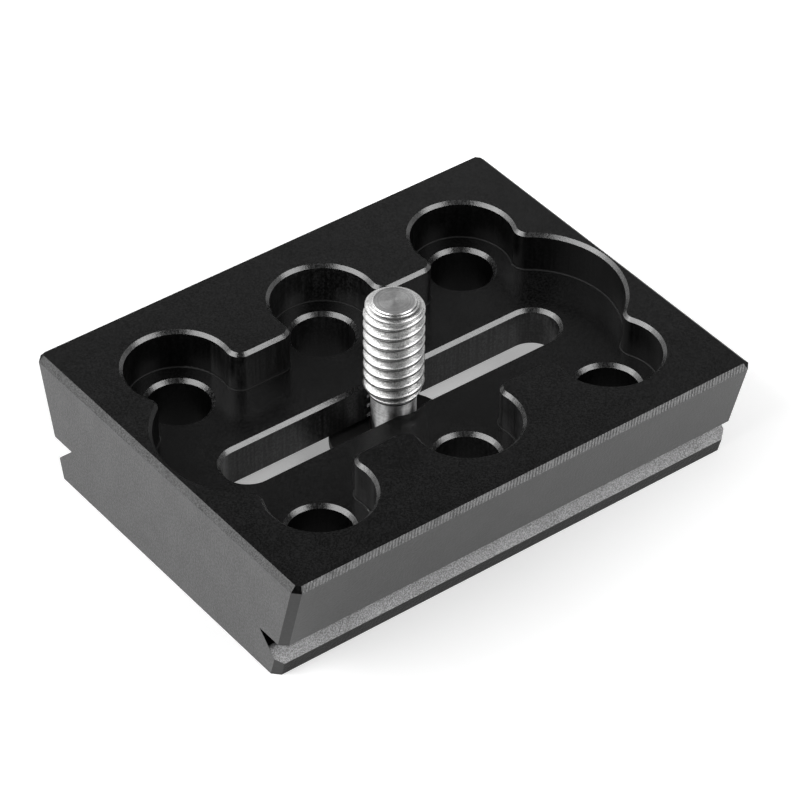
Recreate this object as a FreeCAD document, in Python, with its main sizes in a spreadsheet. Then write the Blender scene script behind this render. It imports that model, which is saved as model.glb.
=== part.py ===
"""Dovetail mounting plate with a captive camera screw, in millimetres.

X runs along the plate, Y across it and Z up. The origin is the middle of the plate's underside, where the head of
the screw stands on the table too.
"""
import FreeCAD, Part
import math
import os
import Sketcher
from FreeCAD import Placement, Rotation, Vector

SIZES = {
    # The block and its dovetail flanks.
    "plate_length": 57.3,
    "plate_width": 45.0,
    "plate_height": 13.75,
    "flank_angle": 15.0,
    "corner_chamfer": 0.75,
    "edge_chamfer": 0.6,
    # The notch along both long sides.
    "lip_height": 1.8,
    "notch_top": 4.8,
    "notch_angle": 45.0,
    # The pocket on top: a channel, a round end at each side and a lobe over each hole.
    "pocket_depth": 4.7,
    "channel_margin": 13.05,
    "pocket_end_radius": 9.8,
    "pocket_end_land": 0.15,
    "lobe_diameter": 11.0,
    "pocket_corner_radius": 1.5,
    "pocket_floor_radius": 0.2,
    "rim_chamfer": 0.36,
    # The six through holes.
    "hole_diameter": 6.75,
    "hole_end_margin": 10.45,
    "hole_side_margin": 10.4,
    "hole_chamfer": 0.4,
    # The slot, and the tapped hole in its middle.
    "slot_width": 5.5,
    "slot_end_margin": 10.45,
    "slot_chamfer": 0.38,
    "tapped_clearance": 0.05,
    # The captive screw.
    "thread_diameter": 6.3,
    "thread_length": 11.1,
    "thread_lift": 1.0,
    "thread_runout": 0.75,
    "neck_diameter": 4.7,
    "tip_flat_diameter": 4.2,
    "tip_cone_diameter": 5.9,
    "tip_cone_height": 0.55,
    "tip_edge_height": 0.3,
    "head_diameter": 12.0,
    "head_height": 2.9,
    "head_chamfer": 0.35,
    "coin_slot_width": 1.8,
    "coin_slot_depth": 1.2,
    # The washer on the neck.
    "washer_diameter": 13.3,
    "washer_thickness": 1.0,
    "washer_clearance": 0.08,
    # The room round the washer in the pocket underneath.
    "washer_lift": 0.7,
    "washer_side_room": 1.25,
    "washer_end_room": 1.4,
}

# Sizes that follow from the ones above.
DERIVED = {
    "hole_x": "plate_length / 2 - hole_end_margin",
    "hole_y": "plate_width / 2 - hole_side_margin",
    "channel_half": "plate_width / 2 - channel_margin",
    "pocket_reach": "plate_length / 2 - edge_chamfer - pocket_end_land - rim_chamfer",
    "pocket_end_x": "pocket_reach - pocket_end_radius",
    "floor_z": "plate_height - pocket_depth",
    "washer_top": "head_height + washer_thickness",
    "underside_depth": "washer_top + washer_lift",
    "underside_half": "washer_diameter / 2 + washer_side_room",
    "slot_end_x": "plate_length / 2 - slot_end_margin",
    "screw_travel": "slot_end_x + (slot_width - neck_diameter) / 2",
    "underside_reach": "screw_travel + washer_diameter / 2 + washer_end_room",
    "underside_end_x": "underside_reach - underside_half",
    "tapped_radius": "thread_diameter / 2 + tapped_clearance",
    "thread_start": "floor_z + thread_lift",
    "screw_top": "thread_start + thread_length",
    "tip_cone_z": "screw_top - tip_cone_height",
    "base_half": "plate_width / 2 - plate_height * tan(flank_angle * 1deg)",
    "lip_half": "plate_width / 2 - (plate_height - lip_height) * tan(flank_angle * 1deg)",
    "ledge_half": "plate_width / 2 - (plate_height - notch_top) * tan(flank_angle * 1deg)",
    "apex_half": "lip_half - (notch_top - lip_height) * tan(notch_angle * 1deg)",
}

# How close two lengths are when they count as equal, how far two faces turn when their edge counts as sharp, and
# how far an edge may lean from upright and still count as steep.
NEAR = 1e-4
SHARP_DEGREES = 5.0
LEAN_DEGREES = 25.0

document = FreeCAD.newDocument("DovetailPlate")
sheet = document.addObject("Spreadsheet::Sheet", "Sizes")


def fill_sheet():
    """Writes each driving size as a plain number and each derived one as a formula, under its own name."""
    rows = [(name, str(number)) for name, number in SIZES.items()]
    rows += [(name, "=" + formula) for name, formula in DERIVED.items()]
    for row, (name, content) in enumerate(rows, 1):
        sheet.set(f"A{row}", name)
        sheet.set(f"B{row}", content)
        sheet.setAlias(f"B{row}", name)
    document.recompute()


def on_sheet(formula):
    """The formula with each size's name turned into a reference to the sheet."""
    for mark in "()*/+-":
        formula = formula.replace(mark, f" {mark} ")
    return " ".join(f"Sizes.{word}" if word in SIZES or word in DERIVED else word for word in formula.split())


def size(formula):
    return float(sheet.evalExpression(on_sheet(formula)))


def origin_plane(body, role):
    return next(item for item in body.Origin.OriginFeatures if item.Role == role)


def attach(item, body, role, lift):
    item.AttachmentSupport = [(origin_plane(body, role), "")]
    item.MapMode = "FlatFace"
    item.setExpression("AttachmentOffset.Base.z", on_sheet(lift))


def new_body(name):
    body = document.addObject("PartDesign::Body", name)
    body.Label = name
    body.Placement = Placement(Vector(0, 0, 0), Rotation())
    return body


def new_sketch(body, name, role="XY_Plane", lift="0"):
    sketch = body.newObject("Sketcher::SketchObject", name)
    attach(sketch, body, role, lift)
    return sketch


def bind(sketch, formula, kind, *where):
    """Adds a dimension to the sketch and ties it to the sheet."""
    index = sketch.addConstraint(Sketcher.Constraint(kind, *where, size(formula)))
    sketch.setExpression(f"Constraints[{index}]", on_sheet(formula))


def place_point(sketch, geometry, point, x, y):
    bind(sketch, x, "DistanceX", -1, 1, geometry, point)
    bind(sketch, y, "DistanceY", -1, 1, geometry, point)


def add_circle(sketch, x, y, radius):
    circle = sketch.addGeometry(Part.Circle(Vector(size(x), size(y), 0), Vector(0, 0, 1), size(radius)))
    place_point(sketch, circle, 3, x, y)
    bind(sketch, radius, "Radius", circle)


def add_polygon(sketch, points):
    """A closed outline through points, each a pair of formulas."""
    corners = [Vector(size(x), size(y), 0) for x, y in points]
    following = corners[1:] + corners[:1]
    lines = [sketch.addGeometry(Part.LineSegment(a, b)) for a, b in zip(corners, following)]
    for line, after in zip(lines, lines[1:] + lines[:1]):
        sketch.addConstraint(Sketcher.Constraint("Coincident", line, 2, after, 1))
    for line, (x, y) in zip(lines, points):
        place_point(sketch, line, 1, x, y)


def add_rectangle(sketch, half_x, half_y):
    """A rectangle round the origin."""
    corners = ((-1, -1), (1, -1), (1, 1), (-1, 1))
    add_polygon(sketch, [(f"{a} * {half_x}", f"{b} * {half_y}") for a, b in corners])


def add_stadium(sketch, end_x, radius):
    """Two straight sides along X joined by half circles round the points end_x to either side."""
    x, r = size(end_x), size(radius)
    far = sketch.addGeometry(Part.LineSegment(Vector(-x, r, 0), Vector(x, r, 0)))
    near = sketch.addGeometry(Part.LineSegment(Vector(x, -r, 0), Vector(-x, -r, 0)))
    top = Vector(0, 0, 1)
    right_circle = Part.Circle(Vector(x, 0, 0), top, r)
    left_circle = Part.Circle(Vector(-x, 0, 0), top, r)
    quarter = math.pi / 2
    right = sketch.addGeometry(Part.ArcOfCircle(right_circle, -quarter, quarter))
    left = sketch.addGeometry(Part.ArcOfCircle(left_circle, quarter, 3 * quarter))
    for joint in ((far, 2, right, 2), (right, 1, near, 1), (near, 2, left, 2), (left, 1, far, 1)):
        sketch.addConstraint(Sketcher.Constraint("Tangent", *joint))
    place_point(sketch, right, 3, end_x, "0")
    place_point(sketch, left, 3, f"-1 * {end_x}", "0")
    bind(sketch, radius, "Radius", right)


def pad(body, name, sketch, length, side="One side"):
    feature = body.newObject("PartDesign::Pad", name)
    feature.Profile = sketch
    feature.SideType = side
    feature.setExpression("Length", on_sheet(length))
    document.recompute()


def pocket(body, name, sketch, depth, upward=False):
    """Cuts the sketch down into the body by depth, or upward from below, and makes sure that it cut something."""
    before = body.Shape.Volume
    feature = body.newObject("PartDesign::Pocket", name)
    feature.Profile = sketch
    feature.Reversed = upward
    feature.setExpression("Length", on_sheet(depth))
    document.recompute()
    if not body.Shape.Volume < before - NEAR:
        raise RuntimeError(f"{name} cuts nothing")


def dress(body, kind, name, amount, wanted):
    """A chamfer or fillet on each edge of the body for which wanted says yes."""
    base = body.Tip
    names = [f"Edge{i}" for i, edge in enumerate(base.Shape.Edges, 1) if wanted(base.Shape, edge)]
    feature = body.newObject(f"PartDesign::{kind}", name)
    feature.Base = (base, names)
    feature.setExpression("Size" if kind == "Chamfer" else "Radius", on_sheet(amount))
    document.recompute()


def level(shape, z):
    """Whether the whole edge or face lies at height z."""
    return abs(shape.BoundBox.ZMin - z) < NEAR and abs(shape.BoundBox.ZMax - z) < NEAR


def steep(edge):
    """Whether the edge is straight and nearly upright."""
    if len(edge.Vertexes) != 2:
        return False
    run = edge.Vertexes[1].Point - edge.Vertexes[0].Point
    return abs(edge.Length - run.Length) < NEAR and abs(run.z) > math.cos(math.radians(LEAN_DEGREES)) * run.Length


def sharp(shape, edge):
    """Whether the two faces that meet in the edge turn a corner there."""
    faces = shape.ancestorsOfType(edge, Part.Face)
    if len(faces) != 2:
        return False
    middle = edge.valueAt((edge.FirstParameter + edge.LastParameter) / 2)
    normals = [face.normalAt(*face.Surface.parameter(middle)) for face in faces]
    return math.degrees(normals[0].getAngle(normals[1])) > SHARP_DEGREES


def on_inner_loop(shape, edge, z):
    """Whether the edge bounds an opening in the body's widest face at height z."""
    widest = max((face for face in shape.Faces if level(face, z)), key=lambda face: face.Area)
    loops = [wire for wire in widest.Wires if not wire.isSame(widest.OuterWire)]
    return any(edge.isSame(other) for wire in loops for other in wire.Edges)


def holes():
    """The centres of the six holes, as pairs of formulas."""
    return [(f"{column} * hole_x", f"{row} * hole_y") for row in (-1, 1) for column in (-1, 0, 1)]


def make_block(body):
    """The dovetail section drawn along the plate, then its corners and top edges broken."""
    half = [
        ("base_half", "0"),
        ("lip_half", "lip_height"),
        ("apex_half", "notch_top"),
        ("ledge_half", "notch_top"),
        ("plate_width / 2", "plate_height"),
    ]
    mirrored = [(f"-1 * {y}", z) for y, z in reversed(half)]
    section = new_sketch(body, "PlateSection", "YZ_Plane")
    add_polygon(section, half + mirrored)
    pad(body, "Block", section, "plate_length", "Symmetric")
    dress(body, "Chamfer", "CornerChamfers", "corner_chamfer", lambda shape, edge: steep(edge))
    top = size("plate_height")
    dress(body, "Chamfer", "TopEdgeChamfer", "edge_chamfer", lambda shape, edge: level(edge, top))


def cut_top_pocket(body):
    """The channel, its round ends and the six lobes, with every inside corner and rim finished."""
    top, floor = size("plate_height"), size("floor_z")
    channel = new_sketch(body, "ChannelOutline", lift="plate_height")
    add_rectangle(channel, "pocket_end_x", "channel_half")
    pocket(body, "Channel", channel, "pocket_depth")
    ends = new_sketch(body, "EndOutline", lift="plate_height")
    for side in (-1, 1):
        add_circle(ends, f"{side} * pocket_end_x", "0", "pocket_end_radius")
    pocket(body, "ChannelEnds", ends, "pocket_depth")
    lobes = new_sketch(body, "LobeOutline", lift="plate_height")
    for x, y in holes():
        add_circle(lobes, x, y, "lobe_diameter / 2")
    pocket(body, "Lobes", lobes, "pocket_depth")

    def upright_corner(shape, edge):
        return steep(edge) and edge.BoundBox.ZMin > floor - NEAR and sharp(shape, edge)

    dress(body, "Fillet", "PocketCorners", "pocket_corner_radius", upright_corner)
    dress(body, "Chamfer", "PocketRim", "rim_chamfer", lambda shape, edge: on_inner_loop(shape, edge, top))
    dress(body, "Fillet", "PocketFloorCorner", "pocket_floor_radius", lambda shape, edge: level(edge, floor))


def cut_underside(body):
    """The long pocket underneath, in which the head and the washer slide."""
    outline = new_sketch(body, "UndersideOutline")
    add_stadium(outline, "underside_end_x", "underside_half")
    pocket(body, "UndersidePocket", outline, "underside_depth", upward=True)
    dress(body, "Chamfer", "UndersideRim", "rim_chamfer", lambda shape, edge: on_inner_loop(shape, edge, 0))


def cut_slot(body):
    """The slot for the neck, and the tapped hole in its middle with a coned mouth."""
    floor = size("floor_z")
    outline = new_sketch(body, "SlotOutline", lift="floor_z")
    add_stadium(outline, "slot_end_x", "slot_width / 2")
    pocket(body, "Slot", outline, "floor_z")
    dress(body, "Chamfer", "SlotRim", "slot_chamfer", lambda shape, edge: on_inner_loop(shape, edge, floor))
    bore = new_sketch(body, "TappedHoleOutline", lift="floor_z")
    add_circle(bore, "0", "0", "tapped_radius")
    pocket(body, "TappedHole", bore, "floor_z")
    mouth = body.newObject("PartDesign::SubtractiveCone", "TappedHoleMouth")
    attach(mouth, body, "XY_Plane", "floor_z - slot_chamfer")
    mouth.setExpression("Radius1", on_sheet("tapped_radius"))
    mouth.setExpression("Radius2", on_sheet("tapped_radius + slot_chamfer"))
    mouth.setExpression("Height", on_sheet("slot_chamfer"))
    document.recompute()


def cut_holes(body):
    """The six through holes, broken at both mouths."""
    floor, radius = size("floor_z"), size("hole_diameter / 2")
    outline = new_sketch(body, "HoleOutline", lift="floor_z")
    for x, y in holes():
        add_circle(outline, x, y, "hole_diameter / 2")
    pocket(body, "Holes", outline, "floor_z")

    def mouth(shape, edge):
        round_edge = isinstance(edge.Curve, Part.Circle) and abs(edge.Curve.Radius - radius) < NEAR
        return round_edge and (level(edge, floor) or level(edge, 0))

    dress(body, "Chamfer", "HoleMouths", "hole_chamfer", mouth)


def make_plate():
    body = new_body("dovetail_plate")
    make_block(body)
    cut_top_pocket(body)
    cut_underside(body)
    cut_slot(body)
    cut_holes(body)
    return body


def make_screw():
    """One turning: head, thin neck, thread at its full outside diameter and a coned tip."""
    body = new_body("camera_screw")
    outline = [
        ("0", "0"),
        ("head_diameter / 2 - head_chamfer", "0"),
        ("head_diameter / 2", "head_chamfer"),
        ("head_diameter / 2", "head_height - head_chamfer"),
        ("head_diameter / 2 - head_chamfer", "head_height"),
        ("neck_diameter / 2", "head_height"),
        ("neck_diameter / 2", "thread_start"),
        ("thread_diameter / 2", "thread_start + thread_runout"),
        ("thread_diameter / 2", "tip_cone_z - tip_edge_height"),
        ("tip_cone_diameter / 2", "tip_cone_z"),
        ("tip_flat_diameter / 2", "screw_top"),
        ("0", "screw_top"),
    ]
    profile = new_sketch(body, "ScrewProfile", "XZ_Plane")
    add_polygon(profile, outline)
    turning = body.newObject("PartDesign::Revolution", "Turning")
    turning.Profile = profile
    turning.ReferenceAxis = (profile, ["V_Axis"])
    turning.Angle = 360
    document.recompute()
    slot = new_sketch(body, "CoinSlotOutline")
    add_rectangle(slot, "head_diameter", "coin_slot_width / 2")
    pocket(body, "CoinSlot", slot, "coin_slot_depth", upward=True)
    return body


def make_washer():
    body = new_body("screw_washer")
    ring = new_sketch(body, "WasherOutline", lift="head_height")
    for radius in ("washer_diameter / 2", "neck_diameter / 2 + washer_clearance"):
        add_circle(ring, "0", "0", radius)
    pad(body, "Ring", ring, "washer_thickness")
    return body


def check(bodies):
    """Stops if anything in the document failed, or a body isn't one valid solid."""
    failed = [item.Name for item in document.Objects if {"Invalid", "Error"} & set(item.State)]
    if failed:
        raise RuntimeError(f"failed: {failed}")
    for body in bodies:
        if body.Shape.isNull() or not body.Shape.isValid() or len(body.Shape.Solids) != 1:
            raise RuntimeError(f"{body.Label} isn't one valid solid")


fill_sheet()
parts = [make_plate(), make_screw(), make_washer()]
document.recompute()
check(parts)
os.makedirs("parts", exist_ok=True)
for part in parts:
    part.Shape.exportStep(f"parts/{part.Label}.step")
    box = part.Shape.BoundBox
    print(part.Label, round(part.Shape.Volume, 2), [round(v, 2) for v in (box.XLength, box.YLength, box.ZLength)])
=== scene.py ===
"""Looks for the black dovetail plate and its captive camera screw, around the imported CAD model."""

import math

import bmesh
import bpy
from mathutils import Matrix, Vector


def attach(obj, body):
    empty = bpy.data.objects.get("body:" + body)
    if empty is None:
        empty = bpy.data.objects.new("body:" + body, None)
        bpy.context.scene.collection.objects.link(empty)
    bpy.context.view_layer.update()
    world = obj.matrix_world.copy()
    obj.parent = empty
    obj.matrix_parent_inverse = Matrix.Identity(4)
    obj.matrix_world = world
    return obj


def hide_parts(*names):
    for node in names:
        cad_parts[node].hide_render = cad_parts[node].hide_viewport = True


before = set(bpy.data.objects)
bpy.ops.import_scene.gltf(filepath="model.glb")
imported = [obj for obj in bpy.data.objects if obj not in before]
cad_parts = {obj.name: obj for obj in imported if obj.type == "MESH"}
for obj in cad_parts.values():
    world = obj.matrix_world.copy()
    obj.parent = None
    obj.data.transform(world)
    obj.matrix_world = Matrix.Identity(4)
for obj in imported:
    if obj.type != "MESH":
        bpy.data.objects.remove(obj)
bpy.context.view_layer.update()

MM = 0.001

# The photograph's camera. Its frame is 800 pixels wide.
CAMERA_PLACE = Vector((-0.191683, -0.249626, 0.270774))
CAMERA_AZIMUTH, CAMERA_DOWN, CAMERA_ROLL = (math.radians(a) for a in (37.649, 39.845, 0.4705))
CAMERA_LENS, SENSOR_WIDTH = 181.116, 36.0
PIXEL_SHIFT = 0.5 / 800
NEAREST_SEEN, FARTHEST_SEEN = 0.02, 20

# The studio's glow by the sine of the height above the horizon.
SKY = [(0.0, 0.9), (0.34, 0.7), (0.5, 0.42), (0.6, 0.13), (0.67, 0.01), (1.0, 0.01)]

# The soft boxes: name, azimuth, elevation, distance, width, height and glow. They face a place just over the
# floor.
BOXES = [("left_box", 172, 41, 0.6, 0.54, 0.3, 4.0), ("right_box", 301, 39, 0.6, 0.4, 0.29, 4.1),
         ("back_box", 118, 36, 0.7, 0.66, 0.32, 1.9)]
BOX_AIM = Vector((0, 0, 0.01))

# The floor's half width and its drop under the object, in metres, its paper's grey, and its own glow.
# The glow grows along X between two places in millimetres, as painted light that lifts the object's
# shadow on the right.
FLOOR_REACH, FLOOR_DROP = 3.0, 0.00002
FLOOR_PAPER = (0.9, 0.9, 0.9, 1)
FLOOR_GLOW, FLOOR_PAINTED_LIGHT_PLACES = (0.3, 0.44), (0.0, 40.0)

# Where the plate's faces lie, in millimetres: its ends, its broken top edges, its sides, the notch along them
# and the lip under it, the seam round the pocket's floor, the slot's walls, the tapped hole's coned mouth, the
# walls near the middle, the pocket's far end and the rims round the top.
END_FROM, EDGE_FROM = 27.9, 13.1
SIDE_FROM, TOP_SIDE_FROM = 18.0, 21.8
NOTCH_SIDE_FROM, LIP_TOP, NOTCH_TOP = 15.5, 1.8, 4.8
SEAM_FROM, SEAM_TO = 9.06, 9.3
SLOT_WALL_SIDE, SLOT_WALL_TOP = 2.8, 9
MOUTH_RADIUS = 3.7
CHANNEL_WALL_REACH = 13.0
POCKET_END_FROM, POCKET_END_HALF = 20, 8.5
RIM_FROM = 13

# The rims that face this way by more than this share are darker and duller than the others: painted shade.
SHADED_RIM_DIRECTION, SHADED_RIM_SHARE = Vector((0.62, 0.79, 0)), 0.45

# The camera screw, in millimetres: head, neck, thread and tip.
HEAD_RADIUS, HEAD_TOP = 6.0, 2.9
COIN_SLOT_HALF, COIN_SLOT_DEPTH, COIN_SLOT_CUTS_TO = 0.9, 1.2, 2.7
NECK_RADIUS, NECK_FILLET, SMOOTH_FROM = 2.35, 0.1, 2.95
PITCH = 1.27
THREAD_RADIUS, ROOT_RADIUS = 3.15, 2.47
THREAD_FROM, THREAD_TO = 9.3, 20.45
THREAD_GROWS, THREAD_FADES = 1.3, 0.6
TIP_RADIUS, TIP_FROM, SCREW_TOP = 2.97, 20.5, 21.15
TIP_DISC_RADIUS = 2.19

# The thread's flat crest and flat root as shares of half a pitch, the rounded share of the side between them,
# and the thread's turn about the axis as a share of a whole turn.
CREST_SHARE, ROOT_SHARE, ROUNDED = 0.04, 0.08, 0.42
THREAD_PHASE = 0.0785

# How far in the head's edge steps, and how far from the head's face.
HEAD_EDGE = [(0.35, 0.0), (0.1, 0.06), (0.0, 0.3)]

# Radius and height of the turned rings: up the head and the neck, then in over the tip.
LOW = ([(HEAD_RADIUS - step, z) for step, z in HEAD_EDGE] + [(HEAD_RADIUS, 1.2)]
       + [(HEAD_RADIUS - step, HEAD_TOP - z) for step, z in reversed(HEAD_EDGE)]
       + [(NECK_RADIUS + NECK_FILLET, HEAD_TOP), (NECK_RADIUS, HEAD_TOP + NECK_FILLET)]
       + [(NECK_RADIUS, THREAD_FROM - 0.2), (NECK_RADIUS, THREAD_FROM - 0.03)])
TIP = [(TIP_RADIUS, TIP_FROM), (2.95, 20.56), (2.88, 20.64), (2.6, 20.81), (2.46, 20.84), (2.41, 20.93),
       (2.37, 20.96), (2.3, 20.97), (2.22, 21.02), (2.17, 21.1), (2.13, 21.14), (2.09, 21.14), (2.04, 21.12),
       (1.98, 21.12), (1.3, 21.13), (0.6, 21.14)]

# The tapped hole in the slot, in millimetres: its ridges are as high and as steep as this, and worn on top,
# where the wear's lighter colour also stands in as a painted glint.
SLOT_HALF, TAPPED_RADIUS, TAPPED_FROM, TAPPED_TO = 2.75, 3.195, 4.62, 8.68
RIDGE_HEIGHT, RIDGE_SLOPE, WORN_GLINT_FROM = 0.42, 1.732, 0.12

# How finely the screw and the tapped hole are drawn.
POINTS_AROUND, RINGS_PER_PITCH = 120, 36
TAPPED_COLUMNS, TAPPED_ROWS = 24, 90

# The finish of each kind of face on the plate, in the terms of the function anodised.
PLATE_FINISHES = {
    "satin": dict(dark=0.0, light=0.009, rough=(0.22, 0.26), grain=0.0016, pore=5.5, shine=0.43),
    "flank": dict(dark=0.003, light=0.027, rough=(0.33, 0.39), grain=0.03, pore=4.5, shine=0.27),
    "end": dict(dark=0.008, light=0.06, rough=(0.36, 0.42), grain=0.03, pore=4.5, shine=0.42),
    # Painted shade: the upright corner facets are darker than the flank and end beside them.
    "corner": dict(shine=0.27),
    "rim": dict(dark=0.002, light=0.03, rough=(0.23, 0.31), grain=0.012, shine=0.58),
    "front_edge": dict(dark=0.004, light=0.075, rough=(0.3, 0.4), grain=0.02, ticks=(0.3, 0.025)),
    "end_edge": dict(dark=0.001, light=0.06, rough=(0.35, 0.45), grain=0.05, pore=6.0, shine=0.35),
    # The notch's deep part gets painted shade: it goes black between the heights given last.
    "notch": dict(dark=0.06, light=0.34, rough=(0.3, 0.4), grain=0.09, pore=7.5, shine=0.75,
                  painted_shade_heights=(3.05, 3.45)),
    "lip": dict(dark=0.0005, light=0.012, rough=(0.4, 0.5), grain=0.06, shine=0.08),
    # Painted shade: darker, duller rims that face one way, and the pocket's far left rim.
    "painted_shade_rim": dict(dark=0.001, light=0.012, rough=(0.3, 0.4), grain=0.012, shine=0.13),
    # Painted light: the slot's walls are lighter than the other walls.
    "slot_wall": dict(dark=0.001, light=0.028, rough=(0.3, 0.38), shine=0.24, streaks=0.02),
    "wall": dict(dark=0.0002, light=0.012, rough=(0.34, 0.42), shine=0.24, streaks=0.014),
    # Painted shade: the walls away from the middle are darker than those near it.
    "shaded_bore": dict(dark=0.0002, light=0.003, rough=(0.34, 0.42), shine=0.12, streaks=0.01),
    # Painted shade in the fillet round the pocket's floor, darker than the floor and walls beside it.
    "shaded_seam": dict(dark=0.0002, light=0.004, rough=(0.5, 0.6), shine=0.16),
    # Painted shade on the cut corners of the top edge.
    "shade": dict(dark=0.0002, light=0.004, rough=(0.5, 0.6), shine=0.02),
}

# A cutter's long marks are this many to a millimetre along X, Y and Z.
STREAK_SCALE = (3.2, 3.2, 0.12)

# The marks of a cutter's teeth lean by this angle in radians. A wave texture of scale 1 repeats after this
# length.
TICK_LEAN = 0.7
WAVE_LENGTH = 0.314


def make_camera():
    data = bpy.data.cameras.new("camera")
    data.lens = CAMERA_LENS
    data.sensor_width = SENSOR_WIDTH
    data.shift_x, data.shift_y = -PIXEL_SHIFT, PIXEL_SHIFT
    data.clip_start, data.clip_end = NEAREST_SEEN, FARTHEST_SEEN
    forward = Vector((math.sin(CAMERA_AZIMUTH) * math.cos(CAMERA_DOWN),
                      math.cos(CAMERA_AZIMUTH) * math.cos(CAMERA_DOWN), -math.sin(CAMERA_DOWN)))
    level = Vector((math.cos(CAMERA_AZIMUTH), -math.sin(CAMERA_AZIMUTH), 0))
    up = level.cross(forward)
    right = level * math.cos(CAMERA_ROLL) + up * math.sin(CAMERA_ROLL)
    up = right.cross(forward)
    turn = Matrix((right, up, -forward)).transposed().to_4x4()
    camera = bpy.data.objects.new("camera", data)
    bpy.context.scene.collection.objects.link(camera)
    camera.matrix_world = Matrix.Translation(CAMERA_PLACE) @ turn
    bpy.context.scene.camera = camera


class Nodes:
    """A material's node tree, written as calls that return output sockets."""

    def __init__(self, name):
        self.material = bpy.data.materials.new(name)
        self.material.use_nodes = True
        self.tree = self.material.node_tree
        self.tree.nodes.clear()

    def add(self, kind, inputs=(), **settings):
        node = self.tree.nodes.new("ShaderNode" + kind)
        for key, value in settings.items():
            setattr(node, key, value)
        for key, value in dict(inputs).items():
            self.join(node.inputs[key], value)
        return node

    def join(self, socket, value):
        if isinstance(value, bpy.types.NodeSocket):
            self.tree.links.new(value, socket)
        else:
            socket.default_value = value

    def place(self, scale=(1, 1, 1), turn=(0, 0, 0)):
        """Object coordinates in millimetres, turned and scaled."""
        here = self.add("TexCoord").outputs["Object"]
        size = tuple(s / MM for s in scale)
        return self.add("Mapping", {"Vector": here, "Rotation": turn, "Scale": size}).outputs["Vector"]

    def along(self, where, axis):
        """One of a place's three numbers."""
        return self.add("SeparateXYZ", {0: where}).outputs[axis]

    def from_axis(self):
        """The distance from the Z axis in millimetres."""
        return self.add("VectorMath", {0: self.place((1, 1, 0))}, operation="LENGTH").outputs["Value"]

    def noise(self, where, scale, detail=2.0, roughness=0.5):
        inputs = {"Vector": where, "Scale": scale, "Detail": detail, "Roughness": roughness}
        return self.add("TexNoise", inputs).outputs["Fac"]

    def span(self, value, low, high, to_low, to_high):
        """The value carried from low..high to to_low..to_high, and held there outside."""
        inputs = {"Value": value, "From Min": low, "From Max": high, "To Min": to_low, "To Max": to_high}
        return self.add("MapRange", inputs).outputs["Result"]

    def math(self, what, a, b=0.0):
        return self.add("Math", {0: a, 1: b}, operation=what).outputs[0]

    def blend(self, share, a, b, times=None):
        """Colour a where share is 0 and b where it is 1, taken times another colour."""
        inputs = {0: share, 6: (*a, 1), 7: (*b, 1)}
        colour = self.add("Mix", inputs, data_type="RGBA").outputs[2]
        if times is None:
            return colour
        inputs = {0: 1.0, 6: colour, 7: times}
        return self.add("Mix", inputs, data_type="RGBA", blend_type="MULTIPLY").outputs[2]

    def bump(self, height, distance, after=None):
        inputs = {"Height": height, "Distance": distance, "Strength": 1.0}
        if after is not None:
            inputs["Normal"] = after
        return self.add("Bump", inputs).outputs["Normal"]

    def surface(self, shader):
        """The material, with that shader on its surface."""
        self.add("OutputMaterial", {"Surface": shader.outputs[0]})
        return self.material

    def finish(self, **inputs):
        """The material with a principled surface, whose inputs are named with _ for each space."""
        named = {key.replace("_", " "): value for key, value in inputs.items()}
        return self.surface(self.add("BsdfPrincipled", named))


def tooth_marks(n, where, spacing):
    """The short leaning marks of a cutter's teeth, that many millimetres apart along X, fading in and out."""
    inputs = {"Vector": n.place(turn=(0, -TICK_LEAN, 0)), "Scale": WAVE_LENGTH / spacing, "Distortion": 0.7,
              "Detail": 1.0, "Detail Scale": 1.0}
    wave = n.add("TexWave", inputs, bands_direction="X").outputs["Fac"]
    return n.math("MULTIPLY", wave, n.span(n.noise(where, 0.9), 0.35, 0.6, 0.25, 1.0))


def anodised(name, dark=0.001, light=0.008, rough=(0.3, 0.36), grain=0.006, pore=3.6, shine=0.5,
             streaks=None, ticks=None, painted_shade_heights=None):
    """Black anodised aluminium: fine flecks and a slight cloudiness.

    The flecks go from dark to light, are grain millimetres high and pore to a millimetre. Streaks is the
    depth of a cutter's long marks, and ticks the spacing and depth of its teeth's short ones. The last
    argument gives the heights between which painted shade turns a notch black, deep under the overhang.
    """
    n = Nodes(name)
    where = n.place()
    flecks = n.noise(where, pore, 2.0, 0.6)
    clouds = n.noise(where, 0.35)
    share = n.math("ADD", n.span(flecks, 0.42, 0.6, 0.0, 0.8), n.span(clouds, 0.35, 0.65, 0.0, 0.2))
    normal = n.bump(flecks, grain * MM)
    if streaks:
        marks = n.noise(n.place(STREAK_SCALE), 1.0)
        share = n.math("MULTIPLY", share, n.span(marks, 0.35, 0.65, 0.3, 1.6))
        normal = n.bump(marks, streaks * MM, after=normal)
    if ticks:
        spacing, depth = ticks
        marks = tooth_marks(n, where, spacing)
        share = n.math("MULTIPLY", share, n.span(marks, 0.1, 0.8, 1.5, 0.1))
        normal = n.bump(marks, depth * MM, after=normal)
    colour = n.blend(share, (dark, dark, dark), (light, light, light * 1.02))
    look = {"Roughness": n.span(flecks, 0.3, 0.7, *rough), "Normal": normal, "IOR": 1.7,
            "Specular_IOR_Level": shine}
    # Painted shade: deep under the overhang the notch turns black, as a black metal without sheen.
    if painted_shade_heights:
        black = n.span(n.along(where, "Z"), *painted_shade_heights, 0.0, 1.0)
        colour = n.blend(black, (1, 1, 1), (0, 0, 0), times=colour)
        look["Metallic"] = black
    return n.finish(Base_Color=colour, **look)


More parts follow.
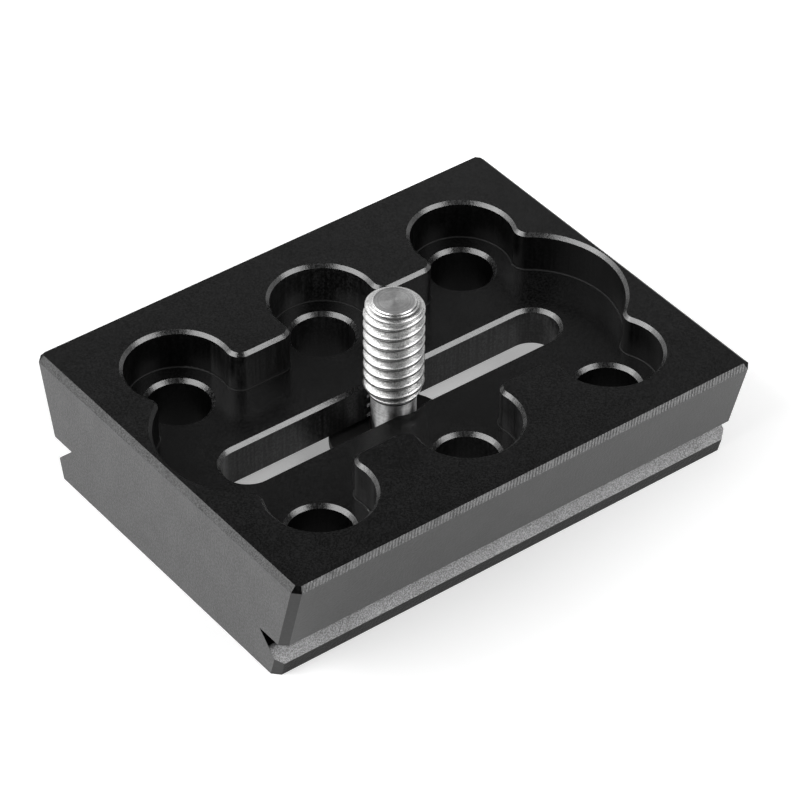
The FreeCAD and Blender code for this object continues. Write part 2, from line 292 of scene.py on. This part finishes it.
def sandy_steel(name, root=0.0):
    """Plated steel with a sandy face, as a rolled thread has, and painted shade near the root's radius."""
    n = Nodes(name)
    sand = n.noise(n.place(), 7.0, 2.0, 0.6)
    colour = n.blend(n.span(sand, 0.35, 0.65, 0.0, 1.0), (0.38, 0.38, 0.377), (0.68, 0.68, 0.675))
    # Painted shade: the colour goes nearly black close to the root, where the crest above shades it.
    painted_root_shade = n.span(n.from_axis(), root, root + 0.15, 0.02, 1.0)
    colour = n.blend(painted_root_shade, (0, 0, 0), (1, 1, 1), times=colour)
    return n.finish(Base_Color=colour, Metallic=1.0, Roughness=n.span(sand, 0.3, 0.7, 0.27, 0.37),
                    Normal=n.bump(sand, 0.02 * MM))


def turned_steel(name, bright, rough, drawn, stain):
    """Plated steel turned in fine rings, which draw a highlight out across them."""
    n = Nodes(name)
    where = n.place()
    along = n.math("ADD", n.from_axis(), n.along(where, "Z"))
    rings = n.add("TexNoise", {"W": along, "Scale": 7.0, "Detail": 3.0}, noise_dimensions="1D").outputs["Fac"]
    fine = n.noise(where, 8.0, 3.0, 0.65)
    colour = n.blend(n.span(rings, 0.3, 0.7, 0.0, 1.0), [0.8 * bright] * 3, [bright] * 3)
    stains = n.span(n.noise(where, 2.6, 3.0), 0.4, 0.6, 0.0, 1.0)
    colour = n.blend(stains, [stain] * 3, [1] * 3, times=colour)
    normal = n.bump(rings, 0.004 * MM, after=n.bump(fine, 0.003 * MM))
    tangent = n.add("Tangent", direction_type="RADIAL", axis="Z").outputs[0]
    roughness = n.span(fine, 0.3, 0.7, rough - 0.04, rough + 0.04)
    return n.finish(Base_Color=colour, Metallic=1.0, Roughness=roughness, Normal=normal, Anisotropic=drawn,
                    Anisotropic_Rotation=0.25, Tangent=tangent)


def soft_black(name):
    """Matt black rubber or soft plastic."""
    n = Nodes(name)
    fine = n.noise(n.place(), 6.0, 3.0, 0.6)
    colour = n.blend(n.span(fine, 0.3, 0.7, 0.0, 1.0), (0.010, 0.010, 0.010), (0.016, 0.016, 0.016))
    return n.finish(Base_Color=colour, Roughness=n.span(fine, 0.3, 0.7, 0.5, 0.65),
                    Normal=n.bump(fine, 0.01 * MM))


def rim_kind(n, c):
    """Finish of a broken edge inside the plate's outline. The pocket's far left rim has painted shade all
    along.
    """
    in_pocket_end = c.x < -POCKET_END_FROM and abs(c.y) < POCKET_END_HALF
    # Painted shade on the rims that face one way and on the pocket's far left rim.
    painted_shade = in_pocket_end or SHADED_RIM_DIRECTION.dot(n) > SHADED_RIM_SHARE
    return "painted_shade_rim" if c.z > RIM_FROM and painted_shade else "rim"


def upright_kind(c):
    """The finish of an upright face inside the plate's outline."""
    # The slot's walls get painted light.
    if abs(c.y) < SLOT_WALL_SIDE and c.z < SLOT_WALL_TOP:
        return "slot_wall"
    # Walls away from the middle get painted shade.
    return "wall" if abs(c.x) < CHANNEL_WALL_REACH else "shaded_bore"


def face_kind(n, c):
    """The finish of a face of the plate, told by its direction and by its middle in millimetres."""
    side = abs(c.y)
    outside = abs(c.x) > END_FROM or (side > SIDE_FROM and (c.z < EDGE_FROM or side > TOP_SIDE_FROM))
    top_edge = outside and c.z > EDGE_FROM
    leans = 0.3 < abs(n.z) < 0.95
    cuts_corner = abs(n.x) > 0.3 and abs(n.y) > 0.3
    # The cut corners of the top edge get painted shade.
    if top_edge and leans and cuts_corner:
        return "shade"
    if math.hypot(c.x, c.y) < MOUTH_RADIUS and side > SLOT_HALF:
        return "wall"
    if top_edge and leans:
        return "end_edge" if abs(n.x) > 0.3 else "front_edge"
    if side > NOTCH_SIDE_FROM and LIP_TOP < c.z < NOTCH_TOP and abs(n.y) > 0.5 and n.z > 0.5:
        return "notch"
    if outside and c.z < LIP_TOP and abs(n.y) > 0.8:
        return "lip"
    # Upright corner facets get painted shade.
    if outside and cuts_corner and abs(n.z) < 0.5:
        return "corner"
    if outside and abs(n.x) > 0.9:
        return "end"
    if outside and abs(n.z) < 0.5:
        return "flank"
    # The fillet round the pocket's floor gets painted shade.
    if leans and SEAM_FROM < c.z < SEAM_TO:
        return "shaded_seam"
    if leans:
        return rim_kind(n, c)
    return upright_kind(c) if abs(n.z) < 0.3 else "satin"


def dress_plate():
    """Gives each face of the plate the finish of its kind."""
    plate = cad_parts["dovetail_plate"].data
    plate.materials.clear()
    for kind, finish in PLATE_FINISHES.items():
        plate.materials.append(anodised("plate_" + kind, **finish))
    kinds = list(PLATE_FINISHES)
    for face in plate.polygons:
        face.material_index = kinds.index(face_kind(face.normal, face.center / MM))


def dress_washer():
    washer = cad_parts["screw_washer"].data
    washer.materials.clear()
    washer.materials.append(soft_black("washer_matte"))


def polar(radius, azimuth, z):
    """A point in metres from a radius and height in millimetres."""
    return (radius * math.cos(azimuth) * MM, radius * math.sin(azimuth) * MM, z * MM)


def new_piece(name, mesh, materials):
    """The finished mesh as an object at the origin, with its materials."""
    data = bpy.data.meshes.new(name)
    mesh.to_mesh(data)
    mesh.free()
    for material in materials:
        data.materials.append(material)
    piece = bpy.data.objects.new(name, data)
    bpy.context.scene.collection.objects.link(piece)
    return piece


def thread_radius(share):
    """The radius a share of a pitch above the crest: a rounded crest, straight sides, a narrow root."""
    d = abs((share + 0.5) % 1.0 - 0.5) * 2
    ramp = min(1.0, max(0.0, (d - CREST_SHARE) / (1 - CREST_SHARE - ROOT_SHARE)))
    drop = ramp ** 2 / (2 * ROUNDED) if ramp < ROUNDED else ramp - ROUNDED / 2
    return THREAD_RADIUS - (THREAD_RADIUS - ROOT_RADIUS) * drop / (1 - ROUNDED / 2)


def wound_radius(turn, z):
    """The radius at a share of a turn and a height, grown out of the neck and faded into the tip."""
    rise = min(1.0, max(0.0, (z - THREAD_FROM) / THREAD_GROWS))
    fall = min(1.0, max(0.0, (THREAD_TO - z) / THREAD_FADES))
    most = NECK_RADIUS + (THREAD_RADIUS - NECK_RADIUS) * rise
    least = TIP_RADIUS - (TIP_RADIUS - ROOT_RADIUS) * min(1.0, fall * 2)
    wound = thread_radius((z / PITCH - turn + THREAD_PHASE) % 1.0)
    return max(min(wound, most), NECK_RADIUS, least)


def screw_rings():
    """The screw's rings from the head's rim to the tip: the radii around each, and its height."""
    rings = [([radius] * POINTS_AROUND, z) for radius, z in LOW]
    z = THREAD_FROM
    while z <= THREAD_TO:
        rings.append(([wound_radius(k / POINTS_AROUND, z) for k in range(POINTS_AROUND)], z))
        z += PITCH / RINGS_PER_PITCH
    return rings + [([radius] * POINTS_AROUND, z) for radius, z in TIP]


def cut_coin_slot(mesh):
    """Cuts the slot for a coin across the head's underside."""
    half, depth = COIN_SLOT_HALF * MM, COIN_SLOT_DEPTH * MM
    slack = 0.01 * depth
    for side in (half, -half):
        head = [f for f in mesh.faces if all(v.co.z < COIN_SLOT_CUTS_TO * MM for v in f.verts)]
        parts = head + list({e for f in head for e in f.edges}) + list({v for f in head for v in f.verts})
        bmesh.ops.bisect_plane(mesh, geom=parts, dist=1e-9, plane_co=(0, side, 0), plane_no=(0, 1, 0))
    middles = [(f, f.calc_center_median()) for f in mesh.faces]
    gone = [f for f, middle in middles if abs(middle.y) < half and middle.z < depth]
    bmesh.ops.delete(mesh, geom=gone, context="FACES")
    rim = {v for e in mesh.edges if len(e.link_faces) == 1 for v in e.verts if v.co.z < depth + slack}
    for side in (half, -half):
        wall = [v for v in rim if abs(v.co.y - side) < 1e-8]
        left = sorted((v for v in wall if v.co.x < 0), key=lambda v: (-v.co.z, v.co.x))
        right = sorted((v for v in wall if v.co.x > 0), key=lambda v: (v.co.z, v.co.x))
        mesh.faces.new(left + right if side < 0 else list(reversed(left + right)))
    roof = sorted((v for v in rim if v.co.z > depth - slack), key=lambda v: math.atan2(v.co.y, v.co.x))
    mesh.faces.new(list(reversed(roof)))
    mesh.normal_update()


def screw_skin():
    """The screw in one skin, drawn over rings of points from the head's rim to the tip."""
    mesh = bmesh.new()
    rings = []
    for radii, z in screw_rings():
        rings.append([mesh.verts.new(polar(radius, 2 * math.pi * k / POINTS_AROUND, z))
                      for k, radius in enumerate(radii)])
    for low, high in zip(rings, rings[1:]):
        for k in range(POINTS_AROUND):
            m = (k + 1) % POINTS_AROUND
            mesh.faces.new((low[k], low[m], high[m], high[k]))
    mesh.faces.new(list(reversed(rings[0])))
    cut_coin_slot(mesh)
    top = mesh.verts.new((0, 0, SCREW_TOP * MM))
    last = rings[-1]
    for k in range(POINTS_AROUND):
        mesh.faces.new((last[k], last[(k + 1) % POINTS_AROUND], top))
    return mesh


def make_screw():
    """The screw: its thread sandy, its head and neck turned, its tip turned inside a sandy cone."""
    materials = [sandy_steel("screw_thread_steel", ROOT_RADIUS),
                 turned_steel("screw_neck_steel", 0.8, 0.38, 0.98, stain=0.75),
                 turned_steel("screw_tip_steel", 0.92, 0.42, 0.6, stain=0.85),
                 sandy_steel("screw_cone_steel")]
    thread, neck, tip, cone = range(len(materials))
    screw = new_piece("threaded_camera_screw", screw_skin(), materials)
    for face in screw.data.polygons:
        face.use_smooth = face.center.z > SMOOTH_FROM * MM
        radius, z = math.hypot(face.center.x, face.center.y) / MM, face.center.z / MM
        if z < THREAD_FROM + 0.1:
            face.material_index = neck
        elif z > TIP_FROM:
            face.material_index = tip if radius < TIP_DISC_RADIUS else cone
        else:
            face.material_index = thread
    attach(screw, "screw")
    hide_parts("camera_screw")


def ridge_radius(azimuth, z):
    """The tapped hole's radius, where its ridges stand in from it."""
    share = (z / PITCH - azimuth / (2 * math.pi)) % 1.0
    away = abs(share - 0.5) * PITCH
    return TAPPED_RADIUS - max(0.0, RIDGE_HEIGHT - RIDGE_SLOPE * away)


def make_tapped_thread():
    """The tapped hole's thread, where the slot's walls leave it: ridges cut flat on top by the slot."""
    mesh = bmesh.new()
    reach = math.acos(SLOT_HALF / TAPPED_RADIUS)
    for side in (1, -1):
        grid = []
        for i in range(TAPPED_COLUMNS + 1):
            turn = reach * (2 * i / TAPPED_COLUMNS - 1)
            azimuth = math.pi / 2 * side + turn
            line = []
            for j in range(TAPPED_ROWS + 1):
                z = TAPPED_FROM + (TAPPED_TO - TAPPED_FROM) * j / TAPPED_ROWS
                radius = max(ridge_radius(azimuth, z), SLOT_HALF / math.cos(turn))
                line.append(mesh.verts.new(polar(radius, azimuth, z)))
            grid.append(line)
        for a, b in zip(grid, grid[1:]):
            for j in range(TAPPED_ROWS):
                mesh.faces.new((a[j], a[j + 1], b[j + 1], b[j]))
    materials = [anodised("tapped_thread_black", shine=0.3),
                 anodised("tapped_thread_worn_glint", 0.15, 0.5, rough=(0.2, 0.35), shine=0.9)]
    black, worn = range(len(materials))
    thread = new_piece("tapped_thread", mesh, materials)
    for face in thread.data.polygons:
        # Worn crests, whose lighter colour also stands in as a painted glint.
        on_ridge = math.hypot(face.center.x, face.center.y) < (TAPPED_RADIUS - WORN_GLINT_FROM) * MM
        face.material_index = worn if on_ridge else black
    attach(thread, "plate")


def floor_white():
    """White paper. The camera and reflections see it glow as well, so that it comes out near white."""
    n = Nodes("floor_white")
    path = n.add("LightPath")
    seen = n.math("MAXIMUM", path.outputs["Is Camera Ray"], path.outputs["Is Glossy Ray"])
    seen = n.math("MAXIMUM", seen, path.outputs["Is Transmission Ray"])
    # Painted light: the glow grows along X and lifts the object's shadow on the right.
    strength = n.span(n.along(n.place(), "X"), *FLOOR_PAINTED_LIGHT_PLACES, *FLOOR_GLOW)
    glow = n.add("Emission", {"Color": (1, 1, 1, 1), "Strength": n.math("MULTIPLY", seen, strength)})
    paper = n.add("BsdfDiffuse", {"Color": FLOOR_PAPER})
    return n.surface(n.add("AddShader", {0: glow.outputs[0], 1: paper.outputs[0]}))


def make_floor():
    """A wide pale floor, which takes the object's shadow."""
    mesh = bpy.data.meshes.new("floor")
    r = FLOOR_REACH
    mesh.from_pydata([(-r, -r, 0), (r, -r, 0), (r, r, 0), (-r, r, 0)], [], [(0, 1, 2, 3)])
    mesh.materials.append(floor_white())
    floor = bpy.data.objects.new("floor", mesh)
    bpy.context.scene.collection.objects.link(floor)
    floor.location.z = -FLOOR_DROP


def make_box(name, azimuth, elevation, distance, width, height, glow):
    """A soft box seen from the object at that azimuth (0 is +X, 90 is +Y) and elevation."""
    data = bpy.data.lights.new(name, "AREA")
    data.shape = "RECTANGLE"
    data.size, data.size_y = width, height
    data.energy = 4 * glow * width * height
    lamp = bpy.data.objects.new(name, data)
    bpy.context.scene.collection.objects.link(lamp)
    a, e = math.radians(azimuth), math.radians(elevation)
    toward = Vector((math.cos(a) * math.cos(e), math.sin(a) * math.cos(e), math.sin(e)))
    lamp.location = BOX_AIM + toward * distance
    lamp.rotation_mode = "QUATERNION"
    lamp.rotation_quaternion = toward.to_track_quat("Z", "Y")


def grey(level):
    return (level, level, level, 1)


def make_studio():
    """A world that glows at the horizon and is dark overhead."""
    world = bpy.data.worlds.new("studio")
    bpy.context.scene.world = world
    world.use_nodes = True
    tree = world.node_tree
    where = tree.nodes.new("ShaderNodeTexCoord")
    split = tree.nodes.new("ShaderNodeSeparateXYZ")
    ramp = tree.nodes.new("ShaderNodeValToRGB")
    tree.links.new(where.outputs["Generated"], split.inputs[0])
    tree.links.new(split.outputs["Z"], ramp.inputs[0])
    stops = ramp.color_ramp.elements
    stops[0].position, stops[0].color = SKY[0][0], grey(SKY[0][1])
    stops[1].position, stops[1].color = SKY[-1][0], grey(SKY[-1][1])
    for height, glow in SKY[1:-1]:
        stops.new(height).color = grey(glow)
    tree.links.new(ramp.outputs["Color"], tree.nodes["Background"].inputs["Color"])


make_camera()
dress_plate()
make_screw()
make_tapped_thread()
dress_washer()
make_floor()
make_studio()
for box in BOXES:
    make_box(*box)
bpy.context.scene.view_settings.view_transform = "Standard"
